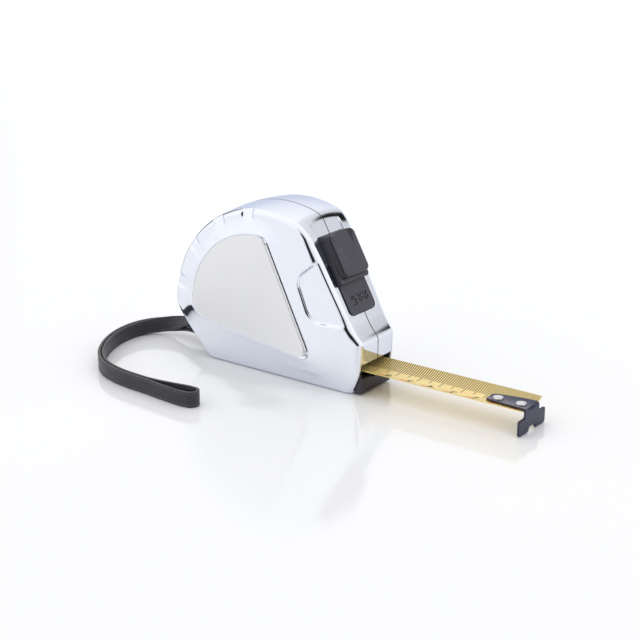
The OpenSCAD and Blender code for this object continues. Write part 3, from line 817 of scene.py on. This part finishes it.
def make_shell(name, side, cell):
    """One chromed shell, cut at the mid-plane, with its half of the parting line."""
    def field(p):
        return case_shell(p, side)

    lo, hi = np.array([-48.5, -1.2, -1.0]), np.array([48.5, 18.2, 72.5])
    if side < 0:
        lo[1], hi[1] = -18.2, 1.2
    points, quads = skin(field, lo, hi, cell)
    draft = bpy.data.meshes.new(name + "_draft")
    draft.from_pydata(points.tolist(), [], quads.tolist())
    bm = bmesh.new()
    bm.from_mesh(draft)
    bpy.data.meshes.remove(draft)
    # Parting line: a small V where the two shells meet
    for at, clear in ((PARTING, False), (PARTING_FLOOR, True)):
        geom = bm.verts[:] + bm.edges[:] + bm.faces[:]
        cut, out = (0, side * at, 0), (0, side, 0)
        bmesh.ops.bisect_plane(
            bm, geom=geom, dist=1e-4, plane_co=cut, plane_no=out, clear_inner=clear
        )
    rim = [v for v in bm.verts if v.is_boundary]
    co = np.array([v.co for v in rim])
    for v, n in zip(rim, gradient(field, co)):
        flat = Vector((n[0], 0, n[2]))
        if flat.length > 0.2:
            v.co -= flat.normalized() * PARTING_DEEP
    edges = [e for e in bm.edges if e.is_boundary]
    cap = bmesh.ops.triangle_fill(bm, use_beauty=True, use_dissolve=False, edges=edges)
    for f in cap["geom"]:
        if isinstance(f, bmesh.types.BMFace):
            f.material_index = 1
    bmesh.ops.recalc_face_normals(bm, faces=bm.faces[:])
    mesh = bpy.data.meshes.new(name)
    bm.to_mesh(mesh)
    bm.free()
    co = np.array([v.co for v in mesh.vertices])
    normals = gradient(field, co)
    flat = [i for i, f in enumerate(mesh.polygons) if f.material_index == 1]
    # The groove's faces take the black bumper plastic, as painted shade in the parting line
    for face in mesh.polygons:
        in_groove = all(abs(mesh.vertices[i].co.y) < PARTING + 1e-3 for i in face.vertices)
        face.material_index = 1 if in_groove else 0
    mesh.shade_smooth()
    set_normals(mesh, normals, flat)
    mesh.transform(Matrix.Scale(MM, 4))
    obj = bpy.data.objects.new(name, mesh)
    bpy.context.collection.objects.link(obj)
    mesh.materials.append(CHROME)
    mesh.materials.append(BLACK_SMOOTH)
    return obj


for name, side in (("case_right", -1), ("case_left", 1)):
    shell = make_shell(name + "_skin", side, SHELL_CELL)
    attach(shell, "case")
    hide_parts(name)

# ------------------------------ side plates

PLATE_MID = (-6.0, 33.0)
PLATE_T, PLATE_SUNK, PANEL_GAP = 0.5, 0.32, 0.55
TRIM_W, TRIM_GAP = 0.75, 0.26
SLANT = np.array([-0.4359, 0.9])
SLANT_OUT = np.array([0.9, 0.4359])
TRIM_LOW, TRIM_HIGH = 4.2, 49.6
# Rounded edges: how far out, or in, the rim lies, and how far below the top
PLATE_EDGE = ((0.45, PLATE_T), (0.45, 0.12), (0.42, 0.04), (0.33, 0.0))
TRIM_EDGE = ((0.0, PLATE_T), (0.0, 0.12), (0.04, 0.04), (0.12, 0.0))
GAP_SHADE_T = 0.2


def plate_rim(offset, steps=360):
    """Points of the plate's outline, moved out by offset. It stops short of the trim strip."""
    turns = 2 * math.pi * np.arange(steps) / steps
    ways = np.stack([np.cos(turns), np.sin(turns)], axis=1)
    near, wide = np.zeros(steps), np.full(steps, 60.0)
    for i in range(40):
        reach = (near + wide) / 2
        x, z = PLATE_MID[0] + reach * ways[:, 0], PLATE_MID[1] + reach * ways[:, 1]
        short_edge = panel_outline(x, z, -TRIM_W - 2 * TRIM_GAP - PANEL_GAP)
        inside = np.maximum(panel_outline(x, z), short_edge) < offset
        near, wide = np.where(inside, reach, near), np.where(inside, wide, reach)
    return np.stack([x, z], axis=1)


def raised_sheet(loops, side):
    """Points and faces of a flat-topped sheet.

    loops are its rims, each given as (points, distance from the mid-plane).
    """
    n = len(loops[0][0])
    verts = [(x, side * y, z) for rim, y in loops for x, z in rim]
    faces = ring_faces(len(loops), n)
    for i, turned in ((0, False), (len(loops) - 1, True)):
        face = tuple(range(i * n, (i + 1) * n))
        faces.append(face if turned else face[::-1])
    if side > 0:
        faces = [f[::-1] for f in faces]
    return verts, faces


def make_plate(name, side):
    """The satin plate, and the slim trim strip along its slanted edge."""
    top = SIDE_Y + PANEL_RISE - PLATE_SUNK
    under = top - PLATE_T
    loops = [(plate_rim(out), top - deep) for out, deep in PLATE_EDGE]
    verts, faces = raised_sheet(loops, side)
    # Trim strip, from the low corner to the top of the slant
    low = np.array(PANEL_FOOT) + SLANT * TRIM_LOW
    high = np.array(PANEL_FOOT) + SLANT * TRIM_HIGH
    first = -TRIM_GAP - 0.1

    def strip(shrink):
        a, b = low + SLANT * shrink, high - SLANT * shrink
        near, wide = first - shrink, first - TRIM_W + shrink
        near, wide = SLANT_OUT * near, SLANT_OUT * wide
        return np.array([a + near, b + near, b + wide, a + wide])

    loops = [(strip(inset), top - deep) for inset, deep in TRIM_EDGE]
    more, more_faces = raised_sheet(loops, side)
    faces += moved_on(more_faces, len(verts))
    verts += more
    # Dark sheet under the strip, seen only in the fine gaps beside it: painted shade in the gaps
    bright = len(faces)
    loops = [(strip(-TRIM_GAP), under), (strip(-TRIM_GAP), under + GAP_SHADE_T)]
    more, more_faces = raised_sheet(loops, side)
    faces += moved_on(more_faces, len(verts))
    obj = make_piece(name + "_skin", verts + more, faces, "case", [name])
    obj.data.materials.append(SATIN)
    obj.data.materials.append(BLACK_SMOOTH)
    materials = [0 if i < bright else 1 for i in range(len(faces))]
    obj.data.polygons.foreach_set("material_index", materials)
    face_outward(obj.data, 28)


for name, side in (("side_plate_right", -1), ("side_plate_left", 1)):
    make_plate(name, side)

# ------------------------------ thumb slider

THUMB_LOW, THUMB_HIGH, THUMB_H = 20.5, 40.3, 5.0
FLUSH_LOW, FLUSH_TOP = 7.0, 0.15
DIMPLE_R, DIMPLE_START, DIMPLE_DEG = 14.0, 24.5, 8.0
# Faces turned out of the slope by more than this are the grained top, which takes the paler copy of the
# black plastic as painted light
TOP_FACING = 0.93


def segment(x, y, a, b):
    """Distance in a plane to the line from a to b."""
    ax, ay, bx, by = *a, *b
    along = (x - ax) * (bx - ax) + (y - ay) * (by - ay)
    t = np.clip(along / ((bx - ax) ** 2 + (by - ay) ** 2), 0, 1)
    return np.hypot(x - ax - t * (bx - ax), y - ay - t * (by - ay))


def lock_mark(across, up):
    """A plain padlock and two arrow heads that point down the slope."""
    lock = np.maximum(np.abs(across + 3.6) - 1.45, np.abs(up - 11.5) - 1.1)
    shackle = np.abs(np.hypot(across + 3.6, np.maximum(up - 13.0, 0)) - 0.85) - 0.24
    shackle = np.maximum(shackle, 12.4 - up)
    mark = np.minimum(lock, shackle)
    for centre in (0.6, 4.4):
        for low in (10.9, 12.7):
            for s in (-1, 1):
                arm = segment(across, up, (centre, low), (centre + 1.3 * s, low + 1.25)) - 0.26
                mark = np.minimum(mark, arm)
    return mark


def slider_field(p):
    up, y, out = p[..., 0], p[..., 1], p[..., 2]
    w = np.abs(y)
    # Thumb block, drawn in a little towards its top
    side = (w - 9.0) * 0.990 + out * 0.139
    low = (THUMB_LOW - up) * 0.977 + out * 0.215
    high = (up - THUMB_HIGH) * 0.977 + out * 0.215
    block_shape = round_max(round_max(np.maximum(low, high), side, 2.0), out - THUMB_H, 1.0)
    axis = THUMB_H - (up - DIMPLE_START) * math.tan(math.radians(DIMPLE_DEG)) + DIMPLE_R
    dimple = np.hypot(w, out - axis) - DIMPLE_R
    block_shape = round_max(block_shape, -dimple, 0.35)
    block_shape = np.maximum(block_shape, -0.5 - out)
    # Wider skirt of its lower half
    ends = np.maximum(THUMB_LOW - 1.2 - up, up - THUMB_LOW - 9.0)
    skirt = round_max(round_max(ends, w - 9.65, 1.4), np.maximum(out - 2.3, 0.05 - out), 0.45)
    # Flush plate with the sunk mark
    plate = round_max(np.maximum(FLUSH_LOW - up, up - THUMB_LOW - 1), w - 8.6, 1.9)
    plate = round_max(plate, np.maximum(out - FLUSH_TOP, -0.75 - out), 0.2)
    mark = np.maximum(lock_mark(y, up), FLUSH_TOP - 0.3 - out)
    plate = round_max(plate, -mark, 0.06)
    # Stem that goes through the slot
    stem = np.maximum(np.abs(up - 16.1) - 2.7, np.maximum(w - 3, np.maximum(out + 0.4, -5.6 - out)))
    body = round_min(block_shape, skirt, 0.2)
    return np.minimum(round_min(body, plate, 0.25), stem)


slider = piece_from_skin(
    "thumb_slider", slider_field, (5.8, -10.4, -6.4), (41.4, 10.4, 5.8), quick_cell(0.24), BLACK_SHADED_SIDE,
    "slider", ["lock_slider"], off_slope,
)
slider.data.materials.append(BLACK_LIT_TOP)
# Top faces get the paler copy, which is painted light; the rest get the darker copy, which is painted
# shade
for face in slider.data.polygons:
    face.material_index = 1 if face.normal.dot(Vector(SLOPE_OUT)) > TOP_FACING else 0

# ------------------------------ bumper


def bumper_field(p):
    x, z = p[..., 0], p[..., 2]
    w = np.abs(p[..., 1])
    lip = (x - BUMPER_FRONT) * 0.990 - (z - 0.6) * 0.139
    lip = round_max(lip, 0.6 - z, 0.6)
    lip = round_max(round_max(lip, z - MOUTH_LOW, 0.4), BUMPER_BACK - x, 0.2)
    lip = round_max(lip, w - BUMPER_Y, 0.45)
    notch = block(p, (45.6, -4.2, 6.5), (50, -2.2, 9), 0.2)
    lip = round_max(lip, -notch, 0.15)
    anvil = block(p, (34.5, -BUMPER_Y, 5.9), (43.3, BUMPER_Y, MOUTH_LOW), 0.15)
    ribs = block(np.stack([x, np.abs(w - 5), z], axis=-1), (35, -0.6, 1.85), (43.3, 0.6, 6.3), 0.1)
    horns = block(np.stack([x, w, z], axis=-1), (BUMPER_BACK, 9.55, 1), (45.8, BUMPER_Y, 12.6), 0.2)
    return round_min(np.minimum(np.minimum(lip, anvil), ribs), horns, 0.3)


piece_from_skin(
    "mouth_bumper", bumper_field, (33.8, -10.9, 0.0), (47.4, 10.9, 13.2), quick_cell(0.28), BLACK_SMOOTH,
    "case", ["front_bumper"],
)

# ------------------------------ blade

CUP_R, BLADE_T, BLADE_Z = 18.6, 0.25, 8.0
CUP_C = BLADE_Z + BLADE_T + CUP_R
blade_lo, blade_hi = box_mm("blade")
tail_lo, tail_hi = box_mm("blade_tail")


def ribbon(name, stations, body, replaces):
    """A strip with thickness.

    stations are (x, height of the underside's middle, how much it is cupped).
    """
    cells = 28
    y = BLADE_HALF * (2 * np.arange(cells + 1) / cells - 1)
    verts, faces, materials = [], [], []
    for x, z, cup in stations:
        under = z + cup * (CUP_R + BLADE_T - np.sqrt((CUP_R + BLADE_T) ** 2 - y**2))
        over = z + BLADE_T + cup * (CUP_R - np.sqrt(CUP_R**2 - y**2))
        verts += [(x, a, b) for a, b in zip(y, under)]
        verts += [(x, a, b) for a, b in zip(y[::-1], over[::-1])]
    m = 2 * (cells + 1)
    for i in range(len(stations) - 1):
        for k in range(m):
            j = (k + 1) % m
            faces.append((i * m + k, (i + 1) * m + k, (i + 1) * m + j, i * m + j))
            materials.append(0 if cells < k < m - 1 else 1)
    for i, turned in ((0, True), (len(stations) - 1, False)):
        for k in range(cells):
            quad = (i * m + k, i * m + k + 1, i * m + m - 2 - k, i * m + m - 1 - k)
            faces.append(quad[::-1] if not turned else quad)
            materials.append(1)
    obj = make_piece(name, verts, faces, body, replaces)
    obj.data.materials.append(SCALE)
    obj.data.materials.append(BACK)
    obj.data.polygons.foreach_set("material_index", materials)
    face_outward(obj.data, 35)
    return obj


ribbon(
    "blade_strip",
    [(x, BLADE_Z, 1.0) for x in np.linspace(blade_lo[0], blade_hi[0], 60)],
    "blade",
    ["blade"],
)

TAIL_FLAT_Z, TAIL_CUP_X = tail_lo[2], 22.0
tail_stations = []
for x in np.linspace(tail_lo[0], tail_hi[0], 60):
    share = ease(x, tail_lo[0], TAIL_CUP_X)
    tail_stations.append((x, TAIL_FLAT_Z + (BLADE_Z - TAIL_FLAT_Z) * share, max(share, 0.04)))
tail = ribbon("blade_run", tail_stations, None, ["blade_tail"])
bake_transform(tail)


# Figures: height, height above the lacquer, distance past the tick, and place across the blade
FIGURE_H, FIGURE_LIFT, FIGURE_PAST, FIGURE_Y = 3.7, 0.03, 1.9, -1.9


def figures():
    """Figures printed on the blade beside each centimetre's tick, read with the hook at the left."""
    verts, faces = [], []
    for number in range(2, 7):
        text = bpy.data.curves.new("figure", "FONT")
        text.body = str(number)
        text.size = FIGURE_H / 0.7
        text.align_x = "CENTER"
        text.offset = 0.07
        holder = bpy.data.objects.new("figure", text)
        bpy.context.collection.objects.link(holder)
        bpy.context.view_layer.update()
        graph = bpy.context.evaluated_depsgraph_get()
        flat = bpy.data.meshes.new_from_object(holder.evaluated_get(graph))
        bpy.data.objects.remove(holder)
        bpy.data.curves.remove(text)
        part = bmesh.new()
        part.from_mesh(flat)
        bpy.data.meshes.remove(flat)
        bmesh.ops.triangulate(part, faces=part.faces[:])
        for i in range(3):
            long_edges = [e for e in part.edges if e.calc_length() > 0.5]
            bmesh.ops.subdivide_edges(part, edges=long_edges, cuts=1)
            bmesh.ops.triangulate(part, faces=part.faces[:])
        at_x = ZERO_X / MM - 10 * number - FIGURE_PAST
        part.verts.index_update()
        faces += [[len(verts) + v.index for v in f.verts] for f in part.faces]
        for v in part.verts:
            x, y = at_x - v.co.x, FIGURE_Y - v.co.y
            cupped = CUP_R - math.sqrt(CUP_R**2 - y * y)
            verts.append((x, y, BLADE_Z + BLADE_T + FIGURE_LIFT + cupped))
        part.free()
    obj = make_piece("blade_figures", verts, faces, "blade")
    obj.data.materials.append(INK)
    return obj


figures()

# ------------------------------ end hook and rivets

HOOK_BACK, HOOK_FRONT, HOOK_T = 98.0, 117.0, 1.0
LEAF_TOP_R = CUP_R - 0.05 - HOOK_T
LEAF_Y, LEAF_TIP_Y, TAPER_X = 5.5, 3.0, 112.0
HOOK_Y, SHOULDER_Z = 9.9, 6.4
RIVET_X, RIVET_R, SHANK_R = (102.0, 112.0), 2.15, 1.0


def hook_field(p):
    x, w, z = p[..., 0], np.abs(p[..., 1]), p[..., 2]
    away = np.hypot(w, z - CUP_C)
    # The strip, bent down at the front
    outside = round_max(LEAF_TOP_R - away, x - HOOK_FRONT, 1.3)
    inside = round_max(LEAF_TOP_R + HOOK_T - away, x - HOOK_FRONT + HOOK_T, 0.4)
    strip = np.maximum(outside, -inside)
    # Its outline: a leaf that narrows to the rear, and a wide plate with a notch
    lean = (LEAF_Y - LEAF_TIP_Y) / (TAPER_X - HOOK_BACK)
    leaf = round_max((w - LEAF_TIP_Y - lean * (x - HOOK_BACK)) * 0.984, w - LEAF_Y, 2.0)
    leaf = round_max(leaf, HOOK_BACK - x, 1.4)
    plate = round_max(round_max(w - HOOK_Y, z - SHOULDER_Z, 0.9), 0.12 - z, 1.2)
    notch = round_max(np.abs(w) - 1.9 - 0.55 * np.maximum(1.9 - z, 0), z - 1.9, 0.3)
    plate = round_max(plate, -notch, 0.25)
    plate = np.maximum(plate, HOOK_FRONT - HOOK_T - 0.6 - x)
    leaf = np.maximum(leaf, 3.0 - z)
    outline = round_min(leaf, plate, 0.8)
    return round_max(strip, outline, 0.16)


piece_from_skin(
    "steel_hook", hook_field, (97, -10.6, -0.6), (117.8, 10.6, 11.4), quick_cell(0.26), OXIDE, "hook",
    ["end_hook"],
)


def lathe(profile, centre, segments=48):
    """Points and faces of a shape turned about an upright line.

    profile is (radius, height), from bottom to top.
    """
    verts = []
    for r, z in profile:
        for k in range(segments):
            a = 2 * math.pi * k / segments
            verts.append((centre[0] + r * math.cos(a), centre[1] + r * math.sin(a), z))
    faces = ring_faces(len(profile), segments)
    low, high = len(verts), len(verts) + 1
    verts += [(centre[0], centre[1], profile[0][1]), (centre[0], centre[1], profile[-1][1])]
    top = (len(profile) - 1) * segments
    for k in range(segments):
        j = (k + 1) % segments
        faces.append((low, j, k))
        faces.append((high, top + k, top + j))
    return verts, faces


def rivets():
    """Two domed rivets that hold the hook, with flat heads under the blade."""
    lo, hi = box_mm("hook_rivets")
    leaf_top = CUP_C - LEAF_TOP_R
    head_h = hi[2] - leaf_top - 0.02
    dome = [
        (RIVET_R * math.cos(a) ** 0.6, leaf_top + 0.25 + (head_h - 0.25) * math.sin(a))
        for a in np.linspace(0, math.radians(84), 9)
    ]
    profile = [(1.2, lo[2]), (1.4, lo[2] + 0.15), (1.4, lo[2] + 0.4), (SHANK_R, lo[2] + 0.48)]
    profile += [(SHANK_R, leaf_top + 0.04), (RIVET_R - 0.12, leaf_top + 0.05)]
    profile += [(RIVET_R, leaf_top + 0.15)]
    profile += dome
    verts, faces = [], []
    for x in RIVET_X:
        v, f = lathe(profile, (x, 0.0))
        faces += moved_on(f, len(verts))
        verts += v
    obj = make_piece("domed_rivets", verts, faces, "blade", ["hook_rivets"])
    obj.data.materials.append(GROUND)
    obj.data.set_sharp_from_angle(angle=math.radians(50))


rivets()

# ------------------------------ floor and light

FLOOR_HALF = 4e4
STUDIO_STRENGTH = 1.15
floor_ways = ((-1, -1), (1, -1), (1, 1), (-1, 1))
floor_corners = [(x * FLOOR_HALF, y * FLOOR_HALF, 0) for x, y in floor_ways]
floor = make_piece("floor", floor_corners, [(0, 1, 2, 3)], None)
floor_look = Nodes("pale_floor", Base_Color=(0.955, 0.96, 0.975, 1), Roughness=0.1)
floor.data.materials.append(floor_look.material)


def studio():
    """A white room with a few soft-edged dark places, which a chromed case needs for its lines."""
    world = bpy.data.worlds.new("studio")
    bpy.context.scene.world = world
    world.use_nodes = True
    tree = world.node_tree
    background = tree.nodes["Background"]
    background.inputs["Strength"].default_value = STUDIO_STRENGTH
    direction = tree.nodes.new("ShaderNodeTexCoord").outputs["Generated"]

    def towards(way):
        made = tree.nodes.new("ShaderNodeVectorMath")
        made.operation = "DOT_PRODUCT"
        tree.links.new(direction, made.inputs[0])
        made.inputs[1].default_value = unit(np.array(way, float))
        return made.outputs["Value"]

    def ramp(value, stops):
        made = tree.nodes.new("ShaderNodeValToRGB")
        tree.links.new(value, made.inputs[0])
        points = made.color_ramp.elements
        while len(points) < len(stops):
            points.new(0.5)
        for point, (at, tone) in zip(points, stops):
            point.position = at
            point.color = tone if isinstance(tone, tuple) else (tone, tone, tone, 1)
        return made.outputs["Color"]

    def times(a, b):
        made = tree.nodes.new("ShaderNodeMix")
        made.data_type = "RGBA"
        made.blend_type = "MULTIPLY"
        made.inputs[0].default_value = 1.0
        tree.links.new(a, made.inputs[6])
        tree.links.new(b, made.inputs[7])
        return made.outputs[2]

    def dark_place(way, *stops):
        """A tone that falls from 1 to the last stop's as the view nears a direction."""
        return ramp(towards(way), [(0.0, 1.0), *stops])

    room = dark_place((0.56, -0.76, 0.33), (0.4, 0.99), (0.8, 0.9), (0.935, 0.7), (0.972, 0.015))
    low_back = dark_place((-0.89, 0.39, 0.22), (0.945, 1.0), (0.985, 0.16))
    high_back = dark_place((0.18, 0.84, 0.51), (0.86, 1.0), (0.93, 0.82), (0.975, 0.7), (0.99, 0.02))
    slope_tone = dark_place((0.58, 0.76, 0.30), (0.86, 1.0), (0.95, 0.92), (1.0, 0.8))
    tint = ramp(towards((0, 0, 1)), [(0.0, (0.93, 0.955, 1.0, 1)), (0.35, (1.0, 1.0, 1.0, 1))])
    sky = times(times(times(room, low_back), times(high_back, tint)), slope_tone)
    tree.links.new(sky, background.inputs["Color"])


studio()
bpy.context.scene.view_settings.view_transform = "Standard"
